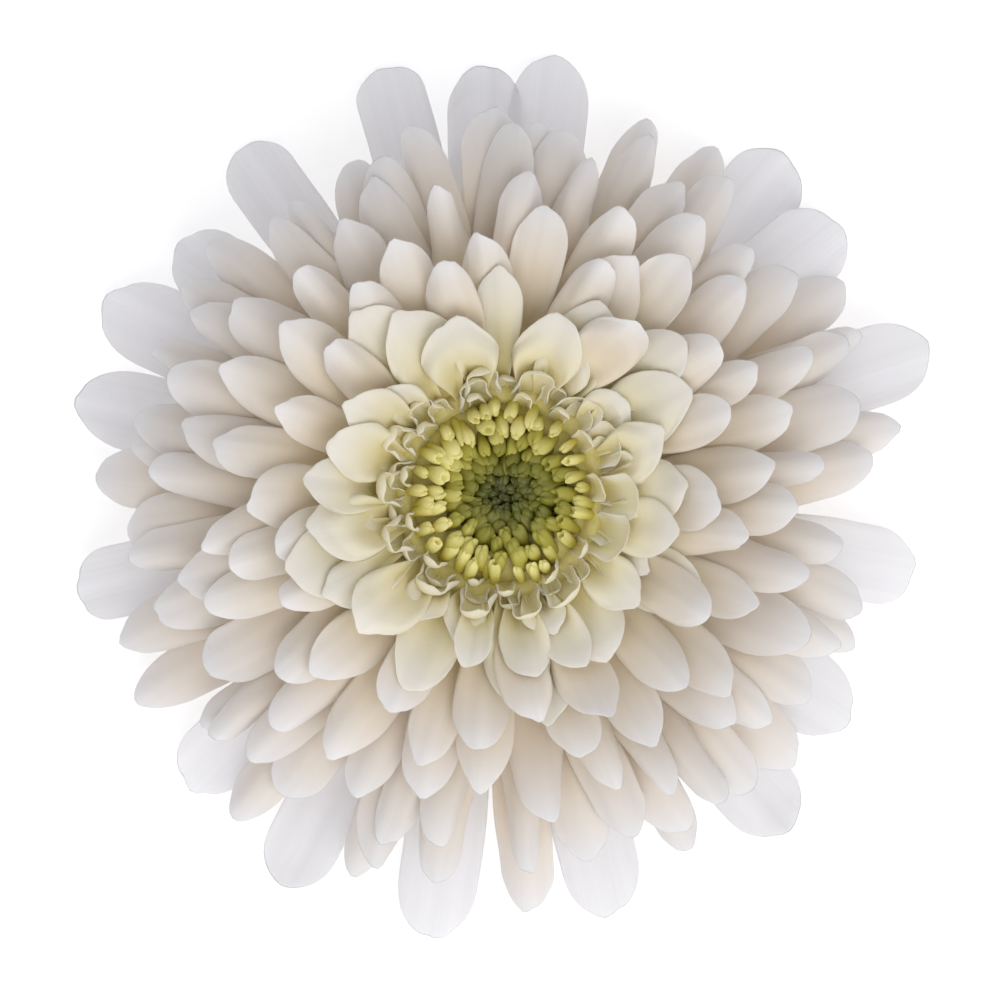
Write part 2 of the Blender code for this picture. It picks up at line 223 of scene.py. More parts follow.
# The photograph: its width in pixels, a pixel's width at the outline, and where the eye's middle is
PICTURE = 1000
PIXEL = 0.115 * MM
EYE_PIXEL = (500, 493)
CAMERA_DISTANCE = 1.2
SENSOR = 36.0  # millimetres

# Laying the petals on each other: a map of heights in square cells
MAP_CELLS = 300
MAP_STEP = 0.4 * MM
PETAL_GAP = 0.35 * MM
MOST_LIFT = 3.0 * MM
LIFT_FROM = (0.35, 0.6)  # the shares of a petal's length between which it starts to be lifted
BARE_ROWS = 36  # how many rows of its denser points, from its root on, carry nothing

# The fine blades
GUARD_HEIGHT = 5.0 * MM  # outline petals with their tips below this are the thin, pale ones
END_ALLOWANCE = 0.9 * MM  # what its rounded, bent end takes off an outline petal's reach
MIDRIB_STEPS = 120
HANDLE = 0.36  # how long the handles of the midrib's curve are, as a share of its span
ROW_CROWDING = 1.6  # how much closer the rows of points stand at the tip
TIP_SKEW = 0.35  # most that the blunt point lies off the middle, in half widths
POINT_WIDTH = 0.3
NOTCH_PLACE = (0.3, 0.45)  # how far from the point the notches are, in half widths
NOTCH_WIDTH = 0.12
FOLD_POWER = 0.35  # how wide the lengthwise fold spreads
GROOVE_WIDTH = 0.2
PLEATS = (0.9, 1.8)  # lengthwise pleats in a half width
RIPPLES = (0.9, 1.9)  # ripples along an edge
RIPPLE_SHARE = (0.3, 1.0)  # share of the ripples' full height

# How near to its sides and tip a blade keeps its thickness, and where it first has it
THICK_ACROSS = 8
THICK_ALONG = 24
THICK_FROM = 0.05

# The studio: a large soft lamp from the near side, an even sky and a floor that glows a little
KEY_PLACE = (0.275, -0.59, 0.804)
KEY_TARGET = (0, 0, 0.02)
KEY_SIZE = 1.1
KEY_WATTS = 5.4
KEY_COLOUR = (1.0, 0.99, 0.97)
SKY_COLOUR = (0.97, 0.97, 1.0)
SKY_STRENGTH = 0.64
FLOOR_REACH = 3.0
FLOOR_COLOUR = (0.85, 0.85, 0.86)
FLOOR_GLOW = 0.42
LIGHT_BOUNCES = 6
NOISE_LIMIT = 0.03


class Floret(NamedTuple):
    """One blade. Its midrib is a curve in the upright plane at azimuth, from root to tip,
    each of them (distance from the axis, height), with its slope above level at each end."""

    azimuth: float
    root: tuple
    tip: tuple
    root_rise: float
    tip_rise: float
    half_width: float
    cup: float  # the angle that each half of the cross-section curls through
    roll: float = 0  # turn about the midrib at the tip
    sweep: float = 0  # sideways bend at the tip, as a share of the span


class Look(NamedTuple):
    """How a kind of blade is finished beyond its floret's form. Each blade draws from the pairs."""

    along: int
    across: int
    thickness: float
    slim: tuple  # share of the floret's half width that it keeps
    sway: float  # added sideways bend at the tip, as a share of the span
    base_width: float  # share of the half width at the root
    widest: float  # where along the blade it reaches its full width
    tip: tuple  # length of the rounded tip, in half widths
    point: tuple  # length of the tip's blunt point, in half widths
    bend: tuple  # degrees that the tip bends up, or below 0 down
    bend_from: float  # where along the blade that starts
    tip_cup: tuple  # degrees that each half of the cross-section curls through at the tip
    fold: tuple  # degrees more that they turn in a lengthwise fold along the middle
    rim: tuple  # degrees more that the edges curl in
    rim_power: int  # how near to the edges that curl keeps
    pleat: float  # depth of the fine lengthwise pleats
    wave: float  # height of the ripples of the edges
    notch: tuple  # depth of the two notches beside the point, in half widths
    roll: float  # degrees of added turn about the midrib


GUARD = Look(
    along=26,
    across=16,
    thickness=0.2 * MM,
    slim=(0.94, 1.02),
    sway=0.015,
    base_width=0.14,
    widest=0.78,
    tip=(0.9, 1.5),
    point=(0.0, 0.12),
    bend=(-14, 4),
    bend_from=0.6,
    tip_cup=(-8, 18),
    fold=(0, 0),
    rim=(-12, 14),
    rim_power=4,
    pleat=0.10 * MM,
    wave=0.45 * MM,
    notch=(0.0, 0.06),
    roll=5,
)
OUTER = GUARD._replace(
    slim=(0.72, 0.9),
    sway=0.06,
    tip=(1.2, 1.9),
    point=(0.0, 0.25),
    bend=(-46, -8),
    tip_cup=(-50, 0),
    fold=(-58, -8),
    rim=(-16, 50),
    pleat=0.08 * MM,
    wave=0.3 * MM,
    roll=14,
)
HIGH_OUTLINE = OUTER._replace(sway=0.02, bend=(-38, -12), tip_cup=(-44, -4))
MIDDLE = OUTER._replace(bend=(-46, -6), tip_cup=(-44, 10), rim=(-6, 60), roll=12)
INNER = OUTER._replace(
    slim=(0.94, 1.06),
    sway=0.04,
    base_width=0.5,
    widest=0.62,
    bend=(-56, -18),
    tip_cup=(-36, 20),
    fold=(-34, 6),
    rim=(-16, 40),
    wave=0.2 * MM,
    roll=9,
)
YOUNG = OUTER._replace(
    along=24,
    slim=(1.05, 1.25),
    base_width=0.5,
    widest=0.5,
    tip=(0.5, 0.8),
    point=(0.0, 0.1),
    bend=(95, 135),
    bend_from=0.58,
    tip_cup=(30, 50),
    fold=(0, 0),
    rim=(70, 110),
    rim_power=2,
    pleat=0.03 * MM,
    wave=0.05 * MM,
    roll=8,
)
BRACT = GUARD._replace(
    along=14,
    across=12,
    thickness=0.4 * MM,
    base_width=0.75,
    widest=0.4,
    tip=(1.4, 1.9),
    bend=(-4, 6),
    tip_cup=(24, 34),
    rim=(0, 10),
    pleat=0.05 * MM,
    wave=0.08 * MM,
    roll=3,
)


def blend(a, b, share):
    return a + (b - a) * share


def swing(rng, most):
    """A draw from -most to most."""
    return rng.uniform(-most, most)


def smooth(low, high, at):
    """A soft step from 0 to 1."""
    share = np.clip((at - low) / (high - low), 0, 1)
    return share * share * (3 - 2 * share)


def tip_height(reach):
    past = max(0, reach - DOME_TOP_REACH) / (DOME_EDGE_REACH - DOME_TOP_REACH)
    return DOME_TOP - (DOME_TOP - DOME_EDGE) * past**DOME_FALL


def ray_floret(azimuth, reach, half_width, rng):
    near, far = INNERMOST_REACH, RAY_REACH[1]
    share = min(1, max(0, (reach**2 - near**2) / (far**2 - near**2)))
    return Floret(
        azimuth=azimuth,
        root=(blend(*ROOT_DISTANCE, share) * MM, blend(*ROOT_HEIGHT, share) * MM),
        tip=(reach, tip_height(reach) + swing(rng, 0.8) * MM),
        root_rise=radians(blend(*ROOT_RISE, share**0.8)),
        tip_rise=radians(blend(*TIP_RISE, share) + swing(rng, 8)),
        half_width=half_width,
        cup=radians(blend(*CURL, share) + swing(rng, 6)),
        roll=radians(swing(rng, 10)),
        sweep=swing(rng, 0.06),
    )


def placed_florets(table, rng):
    """Petals of the dome from a table of azimuth in degrees, reach and half width in millimetres."""
    return [
        ray_floret(radians(azimuth), reach * MM, half_width * MM, rng)
        for azimuth, reach, half_width in table
    ]


def dome_florets():
    """The innermost petals inside the outline, and the rows from there outwards."""
    rng = Random(RAY_SEED)
    inner = placed_florets(INNER_PETALS, rng)
    rows = []
    near, far = RAY_REACH
    for number in range(RAY_COUNT):
        reach = math.sqrt(blend(near**2, far**2, (number + 0.5) / RAY_COUNT))
        reach += swing(rng, 0.9) * MM
        azimuth = number * GOLDEN_ANGLE + swing(rng, 0.07)
        half_width = rng.uniform(4.0, 4.8) * MM
        rows.append(ray_floret(azimuth, reach, half_width, rng))
    return inner, rows


def outline_florets():
    """The outermost petals, placed where the bloom's outline shows them."""
    rng = Random(RAY_SEED + 1)
    for azimuth, reach, height in OUTLINE_PETALS:
        lies = height == 0
        turn = 0 if lies else swing(rng, 7)
        tip_rise = radians(-3 if lies else -22)
        yield Floret(
            azimuth=radians(azimuth),
            root=(5.6 * MM, 13.5 * MM),
            tip=(reach * MM, max(height * MM, BLADE_THICKNESS / 2 * math.cos(tip_rise))),
            root_rise=radians(9),
            tip_rise=tip_rise,
            half_width=rng.uniform(4.3, 5.0) * MM,
            cup=radians(rng.uniform(22, 32)),
            roll=radians(turn),
        )


def young_florets():
    """The short, rolled petals round the eye."""
    rng = Random(RAY_SEED + 2)
    for count, root, reach, height, half_width in YOUNG_RINGS:
        for number in range(count):
            share = rng.random()
            yield Floret(
                azimuth=(number + swing(rng, 0.15)) * math.tau / count,
                root=(root, 18.2 * MM),
                tip=(blend(*reach, share), blend(*height, share)),
                root_rise=radians(74),
                tip_rise=radians(rng.uniform(95, 125)),
                half_width=half_width * rng.uniform(0.85, 1.1),
                cup=radians(66),
                roll=radians(swing(rng, 20)),
            )


def openness(azimuth):
    """From 0 where the petals round the eye stand steepest to 1 where they lie flattest."""
    return 0.5 + 0.5 * np.cos(azimuth - OPEN_SIDE)


def open_florets():
    """The young petals as they show from above: leaning a little further out than their solids."""
    for floret in young_florets():
        side = openness(floret.azimuth)
        reach = blend(floret.tip[0], blend(*YOUNG_REACH, side) * MM, 0.5)
        height = floret.tip[1] - blend(*YOUNG_DROP, side) * MM
        yield floret._replace(
            root=(floret.root[0] - YOUNG_DRAWN_IN, floret.root[1]),
            tip=(reach, height),
            root_rise=radians(blend(*YOUNG_RISE, side)),
            tip_rise=floret.tip_rise - radians(blend(*YOUNG_LEAN, side)),
        )


def opened(floret):
    """An innermost petal as the photograph shows it: rooted by the eye, and lying flatter."""
    side = openness(floret.azimuth)
    return floret._replace(
        root=INNER_ROOT,
        tip=(floret.tip[0], floret.tip[1] - blend(*INNER_DROP, side) * MM),
        root_rise=radians(blend(*INNER_RISE, side)),
        tip_rise=floret.tip_rise - radians(blend(*INNER_LEAN, side)),
    )


def extra_florets(count, seed, root, reach, height, root_rise, tip_rise, half_width, cup, roll, sweep):
    """A ring of petals seen only in the looks. Each draws from the pairs."""
    rng = Random(seed)
    for number in range(count):
        share = rng.random()
        yield Floret(
            azimuth=(number + swing(rng, 0.3)) * math.tau / count,
            root=root,
            tip=(blend(*reach, share), blend(*height, share)),
            root_rise=radians(root_rise),
            tip_rise=radians(rng.uniform(*tip_rise)),
            half_width=rng.uniform(*half_width),
            cup=radians(rng.uniform(*cup)),
            roll=radians(swing(rng, roll)),
            sweep=swing(rng, sweep),
        )


def unrolled(look, floret):
    """A young petal's look, less rolled in where the petals lie flattest."""
    kept = 1 - UNROLLED * openness(floret.azimuth) ** 4
    pairs = {
        name: tuple(kept * value for value in getattr(look, name))
        for name in ("bend", "tip_cup", "rim")
    }
    return look._replace(**pairs)


def bract_florets():
    """The overlapping bracts of the cup under the bloom."""
    for row, (count, root, tip, half_width) in enumerate(BRACT_ROWS):
        for number in range(count):
            yield Floret(
                azimuth=(number + 0.5 * (row % 2)) * math.tau / count,
                root=root,
                tip=tip,
                root_rise=radians(48),
                tip_rise=radians(12),
                half_width=half_width,
                cup=radians(38),
            )


class Blade(NamedTuple):
    """A fine blade's middle surface, and where each of its points lies across and along it."""

    surface: np.ndarray
    across: np.ndarray
    along: np.ndarray
    thickness: np.ndarray
    tint: float  # its own number from 0 to 1


def midrib(floret, bend, bend_from):
    """Shares along the midrib, its distance from the axis, height and slope there, and its length."""
    root, tip = np.array(floret.root), np.array(floret.tip)
    handle = HANDLE * np.linalg.norm(tip - root)
    out = root + handle * np.array((math.cos(floret.root_rise), math.sin(floret.root_rise)))
    back = tip - handle * np.array((math.cos(floret.tip_rise), math.sin(floret.tip_rise)))
    shares = np.linspace(0, 1, MIDRIB_STEPS + 1)
    s, r = shares[:, None], 1 - shares[:, None]
    at = root * r**3 + out * 3 * r**2 * s + back * 3 * r * s**2 + tip * s**3
    along = (out - root) * r**2 + (back - out) * 2 * r * s + (tip - back) * s**2
    rise = np.unwrap(np.arctan2(along[:, 1], along[:, 0]))
    rise = rise + bend * np.clip((shares - bend_from) / (1 - bend_from), 0, 1) ** 2
    steps = np.hypot(*np.diff(at, axis=0).T)
    turns = (rise[1:] + rise[:-1]) / 2
    distance = root[0] + np.concatenate(([0], np.cumsum(steps * np.cos(turns))))
    height = root[1] + np.concatenate(([0], np.cumsum(steps * np.sin(turns))))
    return shares, distance, height, rise, float(steps.sum())


def summed_across(slopes, width):
    """The sum of slopes over the width, outwards from the middle column."""
    steps = (slopes[:, 1:] + slopes[:, :-1]) / 2 * np.diff(width, axis=1)
    total = np.concatenate((np.zeros((len(slopes), 1)), np.cumsum(steps, axis=1)), axis=1)
    middle = slopes.shape[1] // 2
    return total - total[:, middle : middle + 1]


def blade_end(look, across, unit, rng):
    """The share of the length that each line along the blade reaches, for its round, notched tip."""
    skewed = across - swing(rng, TIP_SKEW)
    notch = np.abs(skewed) - rng.uniform(*NOTCH_PLACE)
    end = 1 - rng.uniform(*look.tip) * unit * (1 - np.sqrt(np.clip(1 - across**2, 0, 1)))
    end = end - rng.uniform(*look.point) * unit * (1 - np.exp(-((skewed / POINT_WIDTH) ** 2)))
    return end - rng.uniform(*look.notch) * unit * np.exp(-((notch / NOTCH_WIDTH) ** 2))


def blade_middle(floret, look, share, line, rng):
    """Each point's place on the midrib, and the directions to the side and up there."""
    distance, height, rise = line
    outward = np.array((math.cos(floret.azimuth), math.sin(floret.azimuth), 0.0))
    sideways = np.array((-outward[1], outward[0], 0.0))
    upright = np.array((0.0, 0.0, 1.0))
    up = upright * np.cos(rise)[..., None] - outward * np.sin(rise)[..., None]
    span = float(np.linalg.norm(np.array(floret.tip) - np.array(floret.root)))
    middle = outward * distance[..., None] + upright * height[..., None]
    sweep = floret.sweep + swing(rng, look.sway)
    middle = middle + sideways * (sweep * span * share**2)[..., None]
    roll = floret.roll + radians(swing(rng, look.roll))
    roll = (roll * share)[..., None]
    side = sideways * np.cos(roll) + up * np.sin(roll)
    up = up * np.cos(roll) - sideways * np.sin(roll)
    return middle, side, up


def curl_across(floret, look, across, share, rng):
    """The angle that its cup, rim and fold turn the blade through at each point."""
    near_tip = smooth(0.5, 0.95, share)
    cup = blend(floret.cup * (1.25 - 0.5 * share), radians(rng.uniform(*look.tip_cup)), near_tip)
    rim = radians(rng.uniform(*look.rim)) * smooth(0.35, 0.8, share)
    own = 7 * floret.azimuth % 1  # a number from 0 to 1 for each petal, which takes no draw
    fold = radians(blend(*look.fold, own)) * smooth(0.4, 0.8, share)
    side_sign = np.sign(across)
    turn = cup * across + rim * side_sign * np.abs(across) ** look.rim_power
    return turn + fold * side_sign * np.abs(across) ** FOLD_POWER


def relief(look, across, share, rng):
    """How far the pleats, the groove along the middle and the ripples of the edges lift each point."""
    shaped = smooth(0.05, 0.4, share)
    pleats = rng.uniform(*PLEATS)
    lift = -look.pleat * np.cos(math.tau * pleats * across + rng.uniform(0, math.tau))
    lift = lift * (1 - across**4) * shaped
    lift = lift - look.pleat * np.exp(-((across / GROOVE_WIDTH) ** 2)) * shaped
    ripple = np.sin(math.tau * (rng.uniform(*RIPPLES) * share + rng.random() + 0.25 * np.sign(across)))
    wave = look.wave * rng.uniform(*RIPPLE_SHARE)
    return lift + wave * np.abs(across) ** 3 * ripple * smooth(0.3, 0.8, share)


def fine_blade(floret, look, rng):
    """The floret's blade, finished as its look says."""
    across = np.sin(np.linspace(-1, 1, look.across + 1) * math.pi / 2)[None, :]
    along = 1 - (1 - np.linspace(0, 1, look.along + 1)[:, None]) ** ROW_CROWDING
    bend = radians(rng.uniform(*look.bend))
    shares, *lines, length = midrib(floret, bend, look.bend_from)
    whole = floret.half_width * rng.uniform(*look.slim)
    share = along * blade_end(look, across, whole / length, rng)
    lines = [np.interp(share, shares, values) for values in lines]
    middle, side, up = blade_middle(floret, look, share, lines, rng)

    grown = np.sin(math.pi / 2 * np.clip(share / look.widest, 0, 1)) ** 2
    width = whole * (look.base_width + (1 - look.base_width) * grown) * across
    turn = curl_across(floret, look, across, share, rng)
    lift = relief(look, across, share, rng)
    x = summed_across(np.cos(turn), width) - lift * np.sin(turn)
    y = summed_across(np.sin(turn), width) + lift * np.cos(turn)
    surface = middle + side * x[..., None] + up * y[..., None]
    surface[..., 2] = np.maximum(surface[..., 2], look.thickness)
    thick = (1 - across**THICK_ACROSS) * (1 - along**THICK_ALONG) * np.clip(along / THICK_FROM, 0, 1)
    thickness = look.thickness * np.sqrt(np.clip(thick, 0, 1))
    return Blade(surface, across + 0 * share, share, thickness, rng.random())


def denser(grid):
    """The grid with a point added halfway along every step, both ways."""
    for _ in range(2):
        finer = np.empty((2 * len(grid) - 1, *grid.shape[1:]))
        finer[::2], finer[1::2] = grid, (grid[1:] + grid[:-1]) / 2
        grid = finer.swapaxes(0, 1)
    return grid


def neighbours(values):
    """The values as they are, and moved by up to two places either way."""
    padded = np.pad(values, 2, mode="edge")
    return [padded[shift : shift + len(values)] for shift in range(5)]


def evened(values):
    """The values widened and then smoothed, so that they change softly and stay as high."""
    return sum(neighbours(np.max(neighbours(values), axis=0))) / 5


def map_cells(points):
    """The cells of the map that the points are over."""
    place = (points[..., :2] / MAP_STEP + MAP_CELLS / 2).astype(int)
    return place[..., 0], place[..., 1]


def settle(blades):
    """Lifts each petal clear of those under it. They come from the lowest to the highest."""
    tops = np.full((MAP_CELLS, MAP_CELLS), -1.0)
    for blade in blades:
        need = tops[map_cells(blade.surface)] + PETAL_GAP - blade.surface[..., 2]
        need = np.clip(need, 0, MOST_LIFT) * smooth(*LIFT_FROM, blade.along)
        middle = need.shape[1] // 2
        left = evened(need[:, : middle + 1].max(axis=1))[:, None]
        right = evened(need[:, middle:].max(axis=1))[:, None]
        blade.surface[..., 2] += blend(left, right, (1 + blade.across) / 2)
        points = denser(denser(blade.surface))[BARE_ROWS:]
        np.maximum.at(tops, map_cells(points), points[..., 2])


def sink(blade):
    """Lowers the crest of the dome round the eye, which stands less steep than its solids do."""
    x, y = blade.surface[..., 0], blade.surface[..., 1]
    reach = np.hypot(x, y)
    depth = blend(*SUNK, openness(np.arctan2(y, x)))
    blade.surface[..., 2] -= depth * smooth(*SUNK_FROM, reach) * (1 - smooth(*SUNK_TO, reach))


def blade_faces(rows, columns):
    """The faces of one closed blade. Its upper points come first, then its lower ones inside the rim."""
    upper = np.arange((rows + 1) * (columns + 1)).reshape(rows + 1, columns + 1)
    lower = upper.copy()
    inner = np.arange((rows - 1) * (columns - 1)).reshape(rows - 1, columns - 1)
    lower[1:-1, 1:-1] = upper.size + inner
    over = np.stack((upper[:-1, :-1], upper[1:, :-1], upper[1:, 1:], upper[:-1, 1:]), -1)
    under = np.stack((lower[:-1, :-1], lower[:-1, 1:], lower[1:, 1:], lower[1:, :-1]), -1)
    return np.concatenate((over.reshape(-1, 4), under.reshape(-1, 4)))


def new_object(name, data):
    obj = bpy.data.objects.new(name, data)
    bpy.context.scene.collection.objects.link(obj)
    return obj


def new_mesh_object(name, points, faces, place_uv, bake_uv, tint):
    """An object of quads. Each point has its place in its blade, its place in the bake, and its tint."""
    mesh = bpy.data.meshes.new(name)
    mesh.vertices.add(len(points))
    mesh.vertices.foreach_set("co", points.astype(np.float32).ravel())
    mesh.loops.add(faces.size)
    mesh.loops.foreach_set("vertex_index", faces.astype(np.int32).ravel())
    mesh.polygons.add(len(faces))
    mesh.polygons.foreach_set("loop_start", np.arange(0, faces.size, 4, dtype=np.int32))
    mesh.polygons.foreach_set("use_smooth", np.ones(len(faces), dtype=bool))
    mesh.update(calc_edges=True)
    for layer, values in (("Place", place_uv), ("OFBake", bake_uv)):
        made = mesh.uv_layers.new(name=layer)
        made.uv.foreach_set("vector", values[faces.ravel()].astype(np.float32).ravel())
    made = mesh.attributes.new("tint", "FLOAT", "POINT")
    made.data.foreach_set("value", tint.astype(np.float32))
    mesh.validate()
    return new_object(name, mesh)


class Gathered:
    """Closed meshes gathered into one piece, each with a square of its own in the bake."""

    def __init__(self, count, margin):
        self.cells = math.ceil(math.sqrt(count))
        self.margin = margin
        self.parts = []
        self.size = 0

    def add(self, points, faces, place, in_square, tint):
        number = len(self.parts)
        corner = np.array((number % self.cells, number // self.cells))
        bake = (corner + self.margin + (1 - 2 * self.margin) * in_square) / self.cells
        self.parts.append((points, faces + self.size, place, bake, np.full(len(points), tint)))
        self.size += len(points)

    def piece(self, name):
        return new_mesh_object(name, *(np.concatenate(values) for values in zip(*self.parts)))


def both_sides(upper, lower):
    """A value for each point of one closed blade, in the order that its faces count them."""
    values = upper.shape[-1]
    return np.concatenate((upper.reshape(-1, values), lower[1:-1, 1:-1].reshape(-1, values)))


def blades_object(name, blades):
    """One piece of many fine blades."""
    rows, columns = blades[0].across.shape
    faces = blade_faces(rows - 1, columns - 1)
    gathered = Gathered(len(blades), margin=0.04)
    for blade in blades:
        normal = np.cross(np.gradient(blade.surface, axis=0), np.gradient(blade.surface, axis=1))
        normal /= np.linalg.norm(normal, axis=2, keepdims=True) + 1e-12
        half = normal * (blade.thickness / 2)[..., None]
        points = both_sides(blade.surface + half, blade.surface - half)
        place = np.stack((blade.across / 2 + 0.5, blade.along), -1)
        place = both_sides(place, place)
        gathered.add(points, faces, place, place, blade.tint)
    return gathered.piece(name)


class Bud(NamedTuple):
    """One bud of the eye, whose foot is at azimuth and radius."""

    azimuth: float
    radius: float
    lean: float  # towards the axis
    half_width: float
    height: float

    def place(self):
        along = (math.cos(self.azimuth), math.sin(self.azimuth))
        foot = (self.radius * along[0], self.radius * along[1], eye_height(self.radius))
        turn = Matrix.Rotation(self.azimuth, 4, "Z") @ Matrix.Rotation(-self.lean, 4, "Y")
        return Matrix.Translation(foot) @ turn


def eye_height(radius):
    share = radius / EYE_RADIUS
    return CORE_TOP + NODE_GAP + (1.0 + 1.4 * math.sin(math.pi * min(1, share) ** 0.9)) * MM


def disc_buds():
    """The unopened disc florets, smaller and more bent over towards the middle."""
    rng = Random(EYE_SEED)
    near, far = BUD_RING
    for number in range(BUD_COUNT):
        radius = math.sqrt(blend(near**2, far**2, number / (BUD_COUNT - 1)))
        grown = radius / far
        yield Bud(
            azimuth=number * GOLDEN_ANGLE + swing(rng, 0.05),
            radius=radius,
            lean=radians(blend(40, 30, grown) + swing(rng, 6)),
            half_width=blend(0.55, 0.95, grown) * rng.uniform(0.9, 1.08) * MM,
            height=blend(1.5, 3.5, grown) * rng.uniform(0.9, 1.1) * MM,
        )
    for number in range(RIM_BUD_COUNT):
        yield Bud(
            azimuth=(number + swing(rng, 0.12)) * math.tau / RIM_BUD_COUNT,
            radius=RIM_BUD_RING,
            lean=radians(rng.uniform(12, 20)),
            half_width=rng.uniform(1.0, 1.15) * MM,
            height=rng.uniform(3.2, 3.9) * MM,
        )


def turned_points(profile, sides, ribs=0, rib=0.0):
    """Points and quads of a turned solid. The profile runs up from the axis to the axis."""
    angles = np.linspace(0, math.tau, sides, endpoint=False)
    rings = []
    for radius, height in profile:
        reach = radius + rib * (0.5 + 0.5 * np.cos(ribs * angles)) * (radius > 0)
        rings.append(np.stack((reach * np.cos(angles), reach * np.sin(angles), height + 0 * angles), -1))
    rows = np.arange(len(profile) * sides).reshape(len(profile), sides)
    after = np.roll(rows, -1, axis=1)
    faces = np.stack((rows[:-1], after[:-1], after[1:], rows[1:]), -1).reshape(-1, 4)
    return np.concatenate(rings), faces


def last_buds():
    """The outermost buds, about to open."""
    rng = Random(LAST_BUD_SEED)
    for number in range(LAST_BUD_COUNT):
        yield Bud(
            azimuth=(number + 0.5 + swing(rng, 0.35)) * math.tau / LAST_BUD_COUNT,
            radius=LAST_BUD_RING + rng.uniform(-0.5, 0.9) * MM,
            lean=radians(rng.uniform(6, 34)),
            half_width=rng.uniform(0.7, 0.95) * MM,
            height=rng.uniform(2.8, 4.2) * MM,
        )


def bud_points(bud, rng):
    """A bud with two or three uneven lobes that meet at its blunt end."""
    opens = bud.radius > DRAWN_IN * RIM_BUD_RING - 0.1 * MM and rng.random() < OPEN_SHARE
    outline = OPEN_BUD if opens else SHUT_BUD
    whole = bud.half_width * (0.88 if bud.radius > 0.8 * RIM_BUD_RING else 0.96)
    profile = [(whole * width, bud.height * (-BUD_SUNK + (1 + BUD_SUNK) * up)) for up, width in outline]
    points, faces = turned_points(profile, BUD_COLUMNS)
    up = (points[:, 2] / bud.height + BUD_SUNK) / (1 + BUD_SUNK)
    angles = np.arctan2(points[:, 1], points[:, 0])
    lobes, first = rng.choice((2, 3, 3)), rng.uniform(0, math.tau)
    lobe = 0.6 * np.cos(lobes * angles + first) + 0.4 * np.cos(5 * angles + rng.uniform(0, math.tau))
    ridge = 1 + rng.uniform(0.08, 0.18) * lobe * smooth(0.3, 0.85, up)
    points[:, 2] += rng.uniform(0.03, 0.09) * bud.height * lobe * smooth(0.6, 0.95, up)
    points[:, 0] *= ridge * rng.uniform(0.8, 1.0)
    points[:, 1] *= ridge * rng.uniform(0.8, 1.08)
    points[:, 0] -= bud.half_width * rng.uniform(0.2, 0.9) * np.clip(up, 0, 1) ** 2
    points[:, 1] += bud.half_width * swing(rng, 0.4) * np.clip(up, 0, 1) ** 2
    leaning = bud._replace(lean=bud.lean + radians(rng.uniform(2, 16)))
    place = np.array(leaning.place())
    return points @ place[:3, :3].T + place[:3, 3], faces, up


def buds_object(name, buds, seed):
    """One piece of many fine buds. Each point knows how grown its bud is, shifted darker on one side of the
    eye as painted shade, and how far up it is.
    """
    rng = Random(seed)
    gathered = Gathered(len(buds), margin=0.05)
    turn = np.linspace(0, 1, BUD_COLUMNS, endpoint=False)
    for bud in buds:
        points, faces, up = bud_points(bud, rng)
        # Painted shade: buds on one side of the eye are coloured darker and those on the other lighter, for
        # how the lamp falls in its bowl
        side_shade = SIDE_SHADE_SHARE * math.cos(bud.azimuth - SHADED_SIDE)
        grown = np.full(len(up), bud.radius / LAST_BUD_RING * (1 - side_shade))
        place = np.stack((grown, up), -1)
        in_square = np.stack((np.resize(turn, len(up)), up), -1)
        gathered.add(points, faces, place, in_square, rng.random())
    return gathered.piece(name)


def turned_object(name, profile, sides, ribs=0, rib=0.0):
    """A turned piece, from a profile in millimetres."""
    points, faces = turned_points([(r * MM, z * MM) for r, z in profile], sides, ribs, rib)
    around = np.arctan2(points[:, 1], points[:, 0]) / math.tau + 0.5
    height = points[:, 2]
    up = (height - height.min()) / (height.max() - height.min())
    place = np.stack((around, up), -1)
    return new_mesh_object(name, points, faces, place, place, np.zeros(len(points)))


